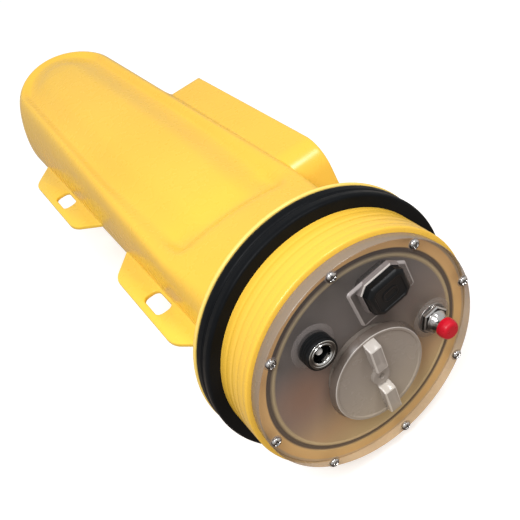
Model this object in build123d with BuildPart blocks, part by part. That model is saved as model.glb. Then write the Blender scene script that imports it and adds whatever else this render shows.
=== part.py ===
"""Net buoy with a satellite fix: moulded pod, threaded head, clear end plate, twist cap and charge port.

Millimetres. +X runs along the pod towards the head, +Y to the block side,
+Z up out of the long panel. The origin is under the middle of the box, on
the floor the pod lies on.
"""

import math
import os

from build123d import *

# ---- driving dimensions ----------------------------------------------------
R_PLATE = 52.0          # clear end plate radius
X_FRONT = 180.3         # front face of the end plate
Z_AXIS = 60.5           # axis of the head above the floor
PLATE_T = 5.6           # end plate thickness

COLLAR_R = 54.2         # threaded collar, crest radius
SEAT_R = 51.0           # seal ring's seat on the collar
THREAD_L = 19.5         # threaded length behind the plate
RING_R = 60.0           # rubber seal ring, outer radius
RING_L = 10.4
RING_ROUND = 2.4
FLANGE_R = 59.8         # thin flange behind the seal ring
FLANGE_T = 2.0
BORE_R = 45.5           # open inside of the head

TAIL_C = X_FRONT - 330.0   # centre of the round tail
CREASE_X = X_FRONT - 97.0  # crease across the panel
FOOT = 42.6             # half width at the parting line
BAND = 2.0              # half height of the parting band
RIM_ROUND = 9.0         # round along the panel's rim
# arched panel: crown height, rim height and rim half width, from the axis
TAIL_CROWN, TAIL_RIM_Z, TAIL_RIM_Y = 41.0, 34.8, 34.6
NEAR_CROWN, NEAR_RIM_Z, NEAR_RIM_Y = 32.5, 26.8, 40.4
RAMP_CROWN, RAMP_RIM_Z, RAMP_RIM_Y = 39.0, 30.4, 39.9
BELLY_FAR = 24.0        # half width of the belly pad
BELLY_NEAR = 25.0
TAIL_RISE = 30.0        # lift of the tail's underside at the tip

BLOCK_X0 = X_FRONT - 236.6  # square far end of the side block
BLOCK_X1 = X_FRONT - 106.2  # near end of the side block, at the top
BLOCK_X1_FOOT = X_FRONT - 98.6  # and from the axis height down
BLOCK_Y = 60.0
BLOCK_TOP = 26.0
BLOCK_LOW = -27.0
BLOCK_ROUND = 13.0

EAR_T = 2.4
EAR_OUT = 56.4
EAR_ROUND = 8.0         # outer corners of an ear
SLOT_L = 18.0
SLOT_W = 8.8
SLOT_R = 3.2
SLOT_Y = 48.4

PACK = (110.0, 44.0, 46.0)  # battery pack
PACK_X1 = X_FRONT - 44.0
PACK_Z = Z_AXIS - 18.0      # middle of the pack

CAP_Y, CAP_Z = -0.5, -6.6   # twist cap centre from the axis
CAP_R = 22.6                # foot of the cap's raised disc
CAP_T = 3.2                 # disc thickness
CAP_TAPER = 22.0
CAP_GAP = 0.2               # disc over the plate
CAP_NECK_R = 19.5
CAP_NECK_L = 8.4
CAP_FIT = 0.05
GRIP_W, GRIP_H = 5.0, 4.4   # split grip bar across the cap
GRIP_OUT, GRIP_OUT_TOP = 20.6, 18.6
GRIP_IN, GRIP_IN_TOP = 4.6, 6.4
HUB_R, HUB_T, HUB_HOLE = 4.2, 1.2, 1.3

SOCK_Y, SOCK_Z = -20.3, 26.3
SOCK_R = 6.2
SOCK_OUT = 6.0
SOCK_HOLE = 3.7
SOCK_STEM = 4.6

PORT_Y, PORT_Z = 13.5, 30.4
PORT_W, PORT_H, PORT_CUT = 17.8, 15.0, 2.8
PORT_TURN = 6.0
BEZEL_W, BEZEL_H, BEZEL_T = 26.4, 18.8, 2.0
WELL_W, WELL_H, WELL_D = 11.6, 8.6, 7.5
PLUG_OUT = 2.4
PLUG_FIT = 0.08

SWITCH_Y, SWITCH_Z = 31.0, -2.5
NUT_AF, NUT_T = 11.4, 2.4
NECK_R0, NECK_R1, NECK_L = 4.6, 3.2, 5.0
CAPR_R, CAPR_L = 4.3, 4.6

# strap ears: name, root start, root end, outer start, outer end, slot middle
# (all back from the end plate's front face)
EARS = [
    dict(name="strap_ear_tail", root0=293.5, root1=195.5, out0=279.0, out1=209.5, slot=241.4),
    dict(name="strap_ear_head", root0=158.0, root1=60.0, out0=142.5, out1=76.0, slot=106.6),
]


def pod_section(x, crown, rim_z, rim_y, belly_half):
    """Face across the pod at x: arched panel, rounded rims, parting band, belly."""
    with BuildSketch(Plane.YZ.offset(x)) as face:
        with BuildLine():
            ThreePointArc((-rim_y, Z_AXIS + rim_z), (0, Z_AXIS + crown), (rim_y, Z_AXIS + rim_z))
            Polyline(
                (rim_y, Z_AXIS + rim_z),
                (FOOT, Z_AXIS + BAND),
                (FOOT, Z_AXIS - BAND),
                (belly_half, 0.0),
                (-belly_half, 0.0),
                (-FOOT, Z_AXIS - BAND),
                (-FOOT, Z_AXIS + BAND),
                (-rim_y, Z_AXIS + rim_z),
            )
        make_face()
        fillet(face.vertices().group_by(Axis.Y)[-1], RIM_ROUND)
    return face.sketch


def octagon(plane, width, height, cut):
    """Rectangle with cut corners, about the plane's origin."""
    w, h = width / 2, height / 2
    with BuildSketch(plane) as face:
        with BuildLine():
            Polyline(
                (-w + cut, -h), (w - cut, -h), (w, -h + cut), (w, h - cut),
                (w - cut, h), (-w + cut, h), (-w, h - cut), (-w, -h + cut),
                close=True,
            )
        make_face()
    return face.sketch


def face_at(x, y=0.0, z=0.0, turn=0.0):
    """Plane across the head axis at x, moved to (y, z) from the axis."""
    across = (0, math.cos(math.radians(turn)), math.sin(math.radians(turn)))
    return Plane(origin=(x, y, Z_AXIS + z), x_dir=across, z_dir=(1, 0, 0))


X_BACK = X_FRONT - PLATE_T
X_RING1 = X_BACK - THREAD_L
X_RING0 = X_RING1 - RING_L
X_FLANGE = X_RING0 - FLANGE_T

# ---- moulded pod ------------------------------------------------------------
with BuildPart() as housing:
    loft([
        pod_section(TAIL_C, TAIL_CROWN, TAIL_RIM_Z, TAIL_RIM_Y, BELLY_FAR),
        pod_section(CREASE_X, NEAR_CROWN, NEAR_RIM_Z, NEAR_RIM_Y, BELLY_NEAR),
    ], ruled=True)
    loft([
        pod_section(CREASE_X, NEAR_CROWN, NEAR_RIM_Z, NEAR_RIM_Y, BELLY_NEAR),
        pod_section(X_FLANGE, RAMP_CROWN, RAMP_RIM_Z, RAMP_RIM_Y, BELLY_NEAR),
    ], ruled=True)
    # round tail
    with BuildSketch(Plane.YZ.offset(TAIL_C)) as tail_face:
        with BuildLine():
            arch = TAIL_CROWN - TAIL_RIM_Z
            arch_r = (TAIL_RIM_Y**2 + arch**2) / (2 * arch)
            mid = math.asin(TAIL_RIM_Y / arch_r) / 2
            ThreePointArc(
                (0, Z_AXIS + TAIL_CROWN),
                (arch_r * math.sin(mid), Z_AXIS + TAIL_CROWN - arch_r * (1 - math.cos(mid))),
                (TAIL_RIM_Y, Z_AXIS + TAIL_RIM_Z))
            Polyline(
                (TAIL_RIM_Y, Z_AXIS + TAIL_RIM_Z),
                (FOOT, Z_AXIS + BAND), (FOOT, Z_AXIS - BAND),
                (BELLY_FAR, 0.0), (0.0, 0.0), (0.0, Z_AXIS + TAIL_CROWN),
            )
        make_face()
        fillet(tail_face.vertices().group_by(Axis.Y)[-2], RIM_ROUND)
    revolve(axis=Axis((TAIL_C, 0, 0), (0, 0, 1)), revolution_arc=180)
    # underside rising to the tail
    with BuildSketch(Plane.XZ) as rise:
        with BuildLine():
            Polyline(
                (TAIL_C + 75.0, -1.0), (TAIL_C + 75.0, 0.0),
                (TAIL_C - FOOT - 2.0, TAIL_RISE), (TAIL_C - FOOT - 2.0, -1.0),
                close=True,
            )
        make_face()
    extrude(amount=70, both=True, mode=Mode.SUBTRACT)
    # battery pocket
    with BuildSketch(Plane.YZ.offset(X_FLANGE)):
        with Locations((0, PACK_Z)):
            Rectangle(PACK[1] + 1.0, PACK[2])
    extrude(amount=-(X_FLANGE - PACK_X1 + PACK[0]), mode=Mode.SUBTRACT)

# ---- solid block along one side -----------------------------------------------
with BuildPart() as side_block:
    with BuildSketch(Plane.XZ.offset(-BLOCK_Y)) as block_face:
        with BuildLine():
            Polyline(
                (BLOCK_X0, Z_AXIS + BLOCK_LOW), (BLOCK_X1_FOOT, Z_AXIS + BLOCK_LOW),
                (BLOCK_X1_FOOT, Z_AXIS), (BLOCK_X1, Z_AXIS + BLOCK_TOP), (BLOCK_X0, Z_AXIS + BLOCK_TOP),
                close=True,
            )
        make_face()
        fillet(block_face.vertices().group_by(Axis.Y)[-1].sort_by(Axis.X)[-1], BLOCK_ROUND)
    extrude(amount=BLOCK_Y - 26.0)
    add(housing.part, mode=Mode.SUBTRACT)

# ---- flange of the head ---------------------------------------------------------
with BuildPart() as head_flange:
    with BuildSketch(Plane.YZ.offset(X_FLANGE)):
        with Locations((0, Z_AXIS)):
            Circle(FLANGE_R)
        with Locations((0, PACK_Z)):
            Rectangle(PACK[1] + 1.0, PACK[2], mode=Mode.SUBTRACT)
    extrude(amount=FLANGE_T)

# ---- threaded collar of the head ---------------------------------------------
with BuildPart() as head_collar:
    with BuildSketch(Plane.YZ.offset(X_RING0)):
        with Locations((0, Z_AXIS)):
            Circle(SEAT_R)
            Circle(BORE_R, mode=Mode.SUBTRACT)
    extrude(amount=RING_L)
    with BuildSketch(Plane.YZ.offset(X_RING1)):
        with Locations((0, Z_AXIS)):
            Circle(COLLAR_R)
            Circle(BORE_R, mode=Mode.SUBTRACT)
    extrude(amount=THREAD_L)

# ---- strap ears -------------------------------------------------------------
ear_parts = []
for row in EARS:
    with BuildPart() as strap_ear:
        with BuildSketch(Plane.XY.offset(Z_AXIS - EAR_T / 2)) as plan:
            with BuildLine():
                Polyline(
                    (X_FRONT - row["root0"], -FOOT), (X_FRONT - row["root1"], -FOOT),
                    (X_FRONT - row["out1"], -EAR_OUT), (X_FRONT - row["out0"], -EAR_OUT),
                    close=True,
                )
            make_face()
            fillet(plan.vertices().group_by(Axis.Y)[0], EAR_ROUND)
            with Locations((X_FRONT - row["slot"], -SLOT_Y)):
                RectangleRounded(SLOT_L, SLOT_W, SLOT_R, mode=Mode.SUBTRACT)
        extrude(amount=EAR_T)
    strap_ear.part.label = row["name"]
    ear_parts.append(strap_ear.part)

# ---- rubber seal ring --------------------------------------------------------
with BuildPart() as seal_ring:
    with BuildSketch(Plane.YZ.offset(X_RING0)):
        with Locations((0, Z_AXIS)):
            Circle(RING_R)
            Circle(SEAT_R + 0.05, mode=Mode.SUBTRACT)
    extrude(amount=RING_L)
    fillet(seal_ring.edges().filter_by(GeomType.CIRCLE).sort_by(SortBy.RADIUS)[-2:], RING_ROUND)

# ---- clear end plate -----------------------------------------------------------
with BuildPart() as end_plate:
    with BuildSketch(Plane.YZ.offset(X_BACK)):
        with Locations((0, Z_AXIS)):
            Circle(R_PLATE)
    extrude(amount=PLATE_T)
    fillet(end_plate.edges().filter_by(GeomType.CIRCLE).sort_by(Axis.X)[-1], 1.0)
    # raised bezel around the data port
    with BuildSketch(face_at(X_FRONT, PORT_Y, PORT_Z, PORT_TURN)):
        RectangleRounded(BEZEL_W, BEZEL_H, 2.0)
    extrude(amount=BEZEL_T)
    extrude(
        octagon(face_at(X_BACK - 1, PORT_Y, PORT_Z, PORT_TURN),
                PORT_W - 2.0, PORT_H - 2.0, PORT_CUT - 0.6),
        amount=PLATE_T + BEZEL_T + 2, mode=Mode.SUBTRACT)
    # bore of the twist cap
    with BuildSketch(face_at(X_FRONT, CAP_Y, CAP_Z)):
        Circle(CAP_NECK_R + CAP_FIT)
    extrude(amount=-PLATE_T - 1, mode=Mode.SUBTRACT)
    # charge socket and switch holes
    with BuildSketch(face_at(X_FRONT, SOCK_Y, SOCK_Z)):
        Circle(SOCK_STEM + 0.05)
    extrude(amount=-PLATE_T - 1, mode=Mode.SUBTRACT)
    with BuildSketch(face_at(X_FRONT, SWITCH_Y, SWITCH_Z)):
        Circle(3.55)
    extrude(amount=-PLATE_T - 1, mode=Mode.SUBTRACT)

# ---- gasket behind the plate ------------------------------------------------------
with BuildPart() as plate_gasket:
    with BuildSketch(Plane.YZ.offset(X_BACK)):
        with Locations((0, Z_AXIS)):
            Circle(45.2)
            Circle(42.9, mode=Mode.SUBTRACT)
    extrude(amount=-2.2)

# ---- twist cap over the battery ------------------------------------------------------
with BuildPart() as battery_cap:
    with BuildSketch(face_at(X_FRONT + CAP_GAP, CAP_Y, CAP_Z)):
        Circle(CAP_R)
    extrude(amount=CAP_T, taper=CAP_TAPER)
    with BuildSketch(face_at(X_FRONT + CAP_GAP, CAP_Y, CAP_Z)):
        Circle(CAP_NECK_R)
    extrude(amount=-CAP_NECK_L)
    # split grip bar: the same half turned over
    for side in (1, -1):
        with BuildSketch(Plane.XZ.offset(-(CAP_Y + GRIP_W / 2))):
            with BuildLine():
                Polyline(
                    (X_FRONT + CAP_T, Z_AXIS + CAP_Z + side * GRIP_OUT),
                    (X_FRONT + CAP_GAP + CAP_T, Z_AXIS + CAP_Z + side * GRIP_OUT),
                    (X_FRONT + CAP_GAP + CAP_T + GRIP_H, Z_AXIS + CAP_Z + side * GRIP_OUT_TOP),
                    (X_FRONT + CAP_GAP + CAP_T + GRIP_H, Z_AXIS + CAP_Z + side * GRIP_IN_TOP),
                    (X_FRONT + CAP_GAP + CAP_T, Z_AXIS + CAP_Z + side * GRIP_IN),
                    (X_FRONT + CAP_T, Z_AXIS + CAP_Z + side * GRIP_IN),
                    close=True,
                )
            make_face()
        extrude(amount=GRIP_W)
    with BuildSketch(face_at(X_FRONT + CAP_GAP + CAP_T, CAP_Y, CAP_Z)):
        Circle(HUB_R)
    extrude(amount=HUB_T)
    with BuildSketch(face_at(X_FRONT + CAP_GAP + CAP_T + HUB_T, CAP_Y, CAP_Z)):
        Circle(HUB_HOLE)
    extrude(amount=-3.0, mode=Mode.SUBTRACT)

# ---- charge socket ------------------------------------------------------------------------
with BuildPart() as charge_socket:
    with BuildSketch(face_at(X_FRONT, SOCK_Y, SOCK_Z)):
        Circle(SOCK_R)
    extrude(amount=SOCK_OUT)
    with BuildSketch(face_at(X_FRONT, SOCK_Y, SOCK_Z)):
        Circle(SOCK_STEM)
    extrude(amount=-13.0)
    with BuildSketch(face_at(X_FRONT + SOCK_OUT, SOCK_Y, SOCK_Z)):
        Circle(SOCK_HOLE)
    extrude(amount=-(SOCK_OUT + 9.0), mode=Mode.SUBTRACT)
    with BuildSketch(face_at(X_FRONT + SOCK_OUT, SOCK_Y, SOCK_Z)):
        Circle(SOCK_R - 0.7)
        Circle(SOCK_HOLE, mode=Mode.SUBTRACT)
    extrude(amount=-0.8, mode=Mode.SUBTRACT)

with BuildPart() as socket_rim:
    with BuildSketch(face_at(X_FRONT + SOCK_OUT - 0.8, SOCK_Y, SOCK_Z)):
        Circle(SOCK_R - 0.75)
        Circle(SOCK_HOLE, mode=Mode.SUBTRACT)
    extrude(amount=1.0)

with BuildPart() as socket_pin:
    with BuildSketch(face_at(X_FRONT - 9.0, SOCK_Y, SOCK_Z)):
        Circle(1.0)
    extrude(amount=9.0 + SOCK_OUT - 1.4)
    fillet(socket_pin.edges().filter_by(GeomType.CIRCLE).sort_by(Axis.X)[-1], 0.6)

# ---- data port and its dust plug -------------------------------------------------------------
with BuildPart() as port_shell:
    extrude(
        octagon(face_at(X_FRONT + BEZEL_T, PORT_Y, PORT_Z, PORT_TURN),
                PORT_W - 2.0, PORT_H - 2.0, PORT_CUT - 0.6),
        amount=-(PLATE_T + BEZEL_T + 4.0))
    with BuildSketch(face_at(X_FRONT + BEZEL_T, PORT_Y, PORT_Z, PORT_TURN)):
        Rectangle(WELL_W, WELL_H)
    extrude(amount=-WELL_D, mode=Mode.SUBTRACT)

with BuildPart() as port_plug:
    extrude(
        octagon(face_at(X_FRONT + BEZEL_T + 0.2, PORT_Y, PORT_Z, PORT_TURN),
                PORT_W, PORT_H, PORT_CUT),
        amount=PLUG_OUT)
    fillet(port_plug.faces().sort_by(Axis.X)[-1].edges(), 0.8)
    with BuildSketch(face_at(X_FRONT + BEZEL_T + 0.2, PORT_Y, PORT_Z, PORT_TURN)):
        Rectangle(WELL_W - 2 * PLUG_FIT, WELL_H - 2 * PLUG_FIT)
    extrude(amount=-(WELL_D - 0.8))

# ---- push switch --------------------------------------------------------------------------------
with BuildPart() as switch_bushing:
    with BuildSketch(face_at(X_FRONT, SWITCH_Y, SWITCH_Z)):
        RegularPolygon(NUT_AF / 2, 6, major_radius=False)
    extrude(amount=NUT_T)
    with BuildSketch(face_at(X_FRONT, SWITCH_Y, SWITCH_Z)):
        Circle(3.5)
    extrude(amount=-12.0)
    with BuildSketch(face_at(X_FRONT + NUT_T, SWITCH_Y, SWITCH_Z)) as neck0:
        Circle(NECK_R0)
    with BuildSketch(face_at(X_FRONT + NUT_T + NECK_L, SWITCH_Y, SWITCH_Z)) as neck1:
        Circle(NECK_R1)
    loft([neck0.sketch, neck1.sketch])

with BuildPart() as switch_cap:
    with BuildSketch(face_at(X_FRONT + NUT_T + NECK_L, SWITCH_Y, SWITCH_Z)):
        Circle(CAPR_R)
    extrude(amount=CAPR_L)
    fillet(switch_cap.edges().filter_by(GeomType.CIRCLE).sort_by(Axis.X)[-1], 1.6)

# ---- battery pack ----------------------------------------------------------------------------------
with BuildPart() as battery_pack:
    with BuildSketch(Plane.YZ.offset(PACK_X1 - PACK[0])):
        with Locations((0, PACK_Z)):
            Rectangle(PACK[1], PACK[2])
    extrude(amount=PACK[0])

housing.part.label = "housing"
side_block.part.label = "side_block"
head_flange.part.label = "head_flange"
head_collar.part.label = "head_collar"
seal_ring.part.label = "seal_ring"
end_plate.part.label = "end_plate"
plate_gasket.part.label = "plate_gasket"
battery_cap.part.label = "battery_cap"
charge_socket.part.label = "charge_socket"
socket_rim.part.label = "socket_rim"
socket_pin.part.label = "socket_pin"
port_shell.part.label = "port_shell"
port_plug.part.label = "port_plug"
switch_bushing.part.label = "switch_bushing"
switch_cap.part.label = "switch_cap"
battery_pack.part.label = "battery_pack"

os.makedirs("parts", exist_ok=True)
for piece in ear_parts:
    export_step(piece, "parts/" + piece.label + ".step")
export_step(housing.part, "parts/housing.step")
export_step(side_block.part, "parts/side_block.step")
export_step(head_flange.part, "parts/head_flange.step")
export_step(head_collar.part, "parts/head_collar.step")
export_step(seal_ring.part, "parts/seal_ring.step")
export_step(end_plate.part, "parts/end_plate.step")
export_step(plate_gasket.part, "parts/plate_gasket.step")
export_step(battery_cap.part, "parts/battery_cap.step")
export_step(charge_socket.part, "parts/charge_socket.step")
export_step(socket_rim.part, "parts/socket_rim.step")
export_step(socket_pin.part, "parts/socket_pin.step")
export_step(port_shell.part, "parts/port_shell.step")
export_step(port_plug.part, "parts/port_plug.step")
export_step(switch_bushing.part, "parts/switch_bushing.step")
export_step(switch_cap.part, "parts/switch_cap.step")
export_step(battery_pack.part, "parts/battery_pack.step")
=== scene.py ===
import math
import bmesh
import bpy
import numpy as np
from mathutils import Matrix, Vector
from mathutils.geometry import tessellate_polygon


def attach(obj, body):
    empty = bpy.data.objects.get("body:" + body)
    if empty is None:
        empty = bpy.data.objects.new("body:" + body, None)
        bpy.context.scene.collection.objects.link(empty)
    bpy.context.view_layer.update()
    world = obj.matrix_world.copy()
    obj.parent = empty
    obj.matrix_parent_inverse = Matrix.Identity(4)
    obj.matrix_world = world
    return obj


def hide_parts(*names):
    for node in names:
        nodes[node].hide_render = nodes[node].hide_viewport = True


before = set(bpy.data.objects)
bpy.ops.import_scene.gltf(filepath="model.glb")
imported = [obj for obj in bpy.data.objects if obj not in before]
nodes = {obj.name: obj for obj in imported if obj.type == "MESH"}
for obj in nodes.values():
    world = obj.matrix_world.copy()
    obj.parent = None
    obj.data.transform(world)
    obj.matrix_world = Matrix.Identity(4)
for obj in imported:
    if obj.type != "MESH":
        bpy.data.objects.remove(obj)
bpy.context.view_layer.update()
scene = bpy.context.scene

# ---- sizes of the buoy, in millimetres ----------------------------------------------
XF, ZA = 180.3, 60.5          # plate's front face, axis height
PLATE_T = 5.6
COLLAR_R, SEAT_R, BORE_R = 54.2, 51.0, 45.5
RING_R, FLANGE_R = 60.0, 59.8
OUT_BACK = -PLATE_T           # distances forward of the plate's front face
OUT_RING1 = OUT_BACK - 19.5
OUT_RING0 = OUT_RING1 - 10.4
OUT_FLANGE = OUT_RING0 - 2.0
S_TAIL, S_CREASE, S_FLANGE = 321.0, 97.0, -OUT_FLANGE
S_END = 372.6                 # tail end at the parting line
BAND = 2.0
# panel stations: crown, rim height, rim half width, rim run-out, shoulder half width, shoulder height, half width at the parting line, belly half width
TAIL = np.array([41.0, 36.3, 30.5, 4.8, 42.0, 15.4, 42.6, 24.0])
NEAR = np.array([31.2, 27.0, 37.4, 5.0, 42.3, 13.0, 42.6, 25.0])
RAMP = np.array([39.0, 26.8, 31.8, 9.0, 42.2, 15.0, 42.6, 25.0])
PACK_W, PACK_H, PACK_Z, PACK_END = 45.0, 46.0, -18.0, 154.0


# ---- mesh helpers -----------------------------------------------------------------------
def piece(name, verts, faces, mat, body="pod", reps=(), sharp=32.0, weld=0.0, pick=None):
    """One mesh object from points in millimetres, riding on a body."""
    me = bpy.data.meshes.new(name)
    me.from_pydata([tuple(float(c) * 0.001 for c in v) for v in verts], [], [tuple(int(i) for i in f) for f in faces])
    mats = mat if isinstance(mat, (list, tuple)) else [mat]
    for m in mats:
        me.materials.append(m)
    if pick is not None:
        me.polygons.foreach_set("material_index", [int(i) for i in pick])
    bm = bmesh.new()
    bm.from_mesh(me)
    if weld:
        bmesh.ops.remove_doubles(bm, verts=bm.verts, dist=weld * 0.001)
        bmesh.ops.dissolve_degenerate(bm, edges=bm.edges, dist=1e-7)
    bmesh.ops.recalc_face_normals(bm, faces=bm.faces)
    bm.to_mesh(me)
    bm.free()
    me.shade_smooth()
    me.set_sharp_from_angle(angle=math.radians(sharp))
    o = bpy.data.objects.new(name, me)
    scene.collection.objects.link(o)
    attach(o, body)
    if reps:
        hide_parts(*reps)
    return o


def join(*parts):
    """Several (verts, faces) as one."""
    verts, faces = [], []
    for v, f in parts:
        base = len(verts)
        verts += list(v)
        faces += [tuple(i + base for i in q) for q in f]
    return verts, faces


def soften(points, radius, steps=5, closed=False):
    """Polyline with its corners rounded; radius is one number or one a point."""
    n = len(points)
    rad = [radius] * n if isinstance(radius, (int, float)) else list(radius)
    out = []
    for i, p in enumerate(points):
        p = np.array(p, float)
        if rad[i] <= 0 or (not closed and i in (0, n - 1)):
            out.append(tuple(p))
            continue
        a, b = np.array(points[i - 1], float), np.array(points[(i + 1) % n], float)
        u, w = a - p, b - p
        la, lb = np.linalg.norm(u), np.linalg.norm(w)
        u, w = u / la, w / lb
        turn = math.pi - math.acos(max(-1, min(1, float(u @ w))))
        if turn < 1e-3:
            out.append(tuple(p))
            continue
        t = min(rad[i] * math.tan(turn / 2), 0.48 * la, 0.48 * lb)
        r = t / math.tan(turn / 2)
        mid = (u + w) / np.linalg.norm(u + w)
        c = p + mid * (r / math.cos(turn / 2))
        v0 = (p + u * t) - c
        v1 = (p + w * t) - c
        side = 1.0 if v0[0] * v1[1] - v0[1] * v1[0] > 0 else -1.0
        for k in range(steps + 1):
            g = side * turn * k / steps
            cg, sg = math.cos(g), math.sin(g)
            out.append((c[0] + v0[0] * cg - v0[1] * sg, c[1] + v0[0] * sg + v0[1] * cg))
    return out


def lathe(profile, cy=0.0, cz=0.0, n=128, closed=False):
    """Turn (out, radius) points about a line along X through (cy, cz) from the axis."""
    verts, faces, rows = [], [], []
    for out, r in profile:
        if r < 1e-6:
            rows.append([len(verts)])
            verts.append((XF + out, cy, ZA + cz))
        else:
            rows.append(list(range(len(verts), len(verts) + n)))
            for k in range(n):
                a = 2 * math.pi * k / n
                verts.append((XF + out, cy + r * math.cos(a), ZA + cz + r * math.sin(a)))
    pairs = list(zip(rows, rows[1:])) + ([(rows[-1], rows[0])] if closed else [])
    for A, B in pairs:
        for k in range(n):
            j = (k + 1) % n
            if len(A) == 1 and len(B) == 1:
                continue
            if len(A) == 1:
                faces.append((A[0], B[k], B[j]))
            elif len(B) == 1:
                faces.append((A[k], B[0], A[j]))
            else:
                faces.append((A[k], B[k], B[j], A[j]))
    return verts, faces


def inset(loop, d):
    """Closed anticlockwise outline moved inwards by d."""
    n, out = len(loop), []
    P = [np.array(p, float) for p in loop]
    for i in range(n):
        e1 = P[i] - P[i - 1]
        e2 = P[(i + 1) % n] - P[i]
        e1, e2 = e1 / np.linalg.norm(e1), e2 / np.linalg.norm(e2)
        n1, n2 = np.array([-e1[1], e1[0]]), np.array([-e2[1], e2[0]])
        q = P[i] + d * (n1 + n2) / (1 + n1 @ n2)
        out.append((q[0], q[1]))
    return out


def stack(loop, levels, cy=0.0, cz=0.0, turn=0.0, closed=False):
    """Outline carried through (out, inset) levels across the head axis, ends capped."""
    c, s = math.cos(math.radians(turn)), math.sin(math.radians(turn))
    verts, faces, n = [], [], len(loop)
    for out, d in levels:
        for u, w in (inset(loop, d) if d else loop):
            verts.append((XF + out, cy + u * c - w * s, ZA + cz + u * s + w * c))
    m = len(levels)
    for i in range(m if closed else m - 1):
        a, b = i * n, ((i + 1) % m) * n
        for k in range(n):
            j = (k + 1) % n
            faces.append((a + k, b + k, b + j, a + j))
    if not closed:
        faces.append(tuple(range(n)))
        faces.append(tuple(range((m - 1) * n, m * n)))
    return verts, faces


def octagon(w, h, cut):
    w, h = w / 2, h / 2
    return [(-w + cut, -h), (w - cut, -h), (w, -h + cut), (w, h - cut), (w - cut, h), (-w + cut, h), (-w, h - cut), (-w, -h + cut)]


def round_rect(w, h, r, steps=6):
    w, h = w / 2, h / 2
    return soften([(-w, -h), (w, -h), (w, h), (-w, h)], r, steps, closed=True)


def smooth(a, b, x):
    t = np.clip((np.asarray(x, float) - a) / (b - a), 0, 1)
    return t * t * (3 - 2 * t)


# ---- materials ---------------------------------------------------------------------------
def shader(name):
    m = bpy.data.materials.new(name)
    m.use_nodes = True
    nt = m.node_tree
    b = nt.nodes["Principled BSDF"]
    tc = nt.nodes.new("ShaderNodeTexCoord")
    return m, nt, b, tc.outputs["Object"]


def noise(nt, co, scale, detail=2.0, rough=0.5, stretch=None):
    if stretch:
        mp = nt.nodes.new("ShaderNodeMapping")
        mp.inputs["Scale"].default_value = stretch
        nt.links.new(co, mp.inputs["Vector"])
        co = mp.outputs["Vector"]
    n = nt.nodes.new("ShaderNodeTexNoise")
    n.inputs["Scale"].default_value = scale
    n.inputs["Detail"].default_value = detail
    n.inputs["Roughness"].default_value = rough
    nt.links.new(co, n.inputs["Vector"])
    return n.outputs["Fac"]


def ramp(nt, fac, stops):
    r = nt.nodes.new("ShaderNodeValToRGB")
    el = r.color_ramp.elements
    while len(el) < len(stops):
        el.new(0.5)
    for e, (p, c) in zip(el, stops):
        e.position = p
        e.color = (*c, 1.0) if len(c) == 3 else c
    nt.links.new(fac, r.inputs["Fac"])
    return r.outputs["Color"]


def remap(nt, fac, lo, hi, a=0.3, b=0.7):
    r = nt.nodes.new("ShaderNodeMapRange")
    r.inputs["From Min"].default_value = a
    r.inputs["From Max"].default_value = b
    r.inputs["To Min"].default_value = lo
    r.inputs["To Max"].default_value = hi
    nt.links.new(fac, r.inputs["Value"])
    return r.outputs["Result"]


def bump(nt, b, *layers):
    """Bump layers (height, strength, distance) chained onto the shader's normal."""
    last = None
    for h, strength, dist in layers:
        n = nt.nodes.new("ShaderNodeBump")
        n.inputs["Strength"].default_value = strength
        n.inputs["Distance"].default_value = dist
        nt.links.new(h, n.inputs["Height"])
        if last:
            nt.links.new(last, n.inputs["Normal"])
        last = n.outputs["Normal"]
    nt.links.new(last, b.inputs["Normal"])


def make_yellow(name, k=(1.0, 1.0, 1.0)):
    """Satin moulded yellow, faintly clouded, with a fine mould grain."""
    m, nt, b, co = shader(name)
    tint = lambda c: tuple(min(1.0, a * q) for a, q in zip(c, k))
    blotch = noise(nt, co, 14, 3)
    nt.links.new(ramp(nt, blotch, [(0.3, tint((0.915, 0.545, 0.058))), (0.52, tint((0.940, 0.568, 0.062))), (0.75, tint((0.960, 0.588, 0.068)))]), b.inputs["Base Color"])
    nt.links.new(remap(nt, noise(nt, co, 120, 3), 0.23, 0.31), b.inputs["Roughness"])
    b.inputs["Specular IOR Level"].default_value = 0.45
    b.inputs["Coat Weight"].default_value = 0.0
    bump(nt, b, (noise(nt, co, 30, 1), 0.015, 0.002), (noise(nt, co, 900, 1), 0.004, 0.0002))
    return m


def make_rubber(name, lo, hi, r0, r1):
    m, nt, b, co = shader(name)
    nt.links.new(ramp(nt, noise(nt, co, 60, 4), [(0.3, lo), (0.7, hi)]), b.inputs["Base Color"])
    nt.links.new(remap(nt, noise(nt, co, 260, 3), r0, r1), b.inputs["Roughness"])
    b.inputs["Specular IOR Level"].default_value = 0.07
    bump(nt, b, (noise(nt, co, 1500, 3), 0.15, 0.0002))
    return m


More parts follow.
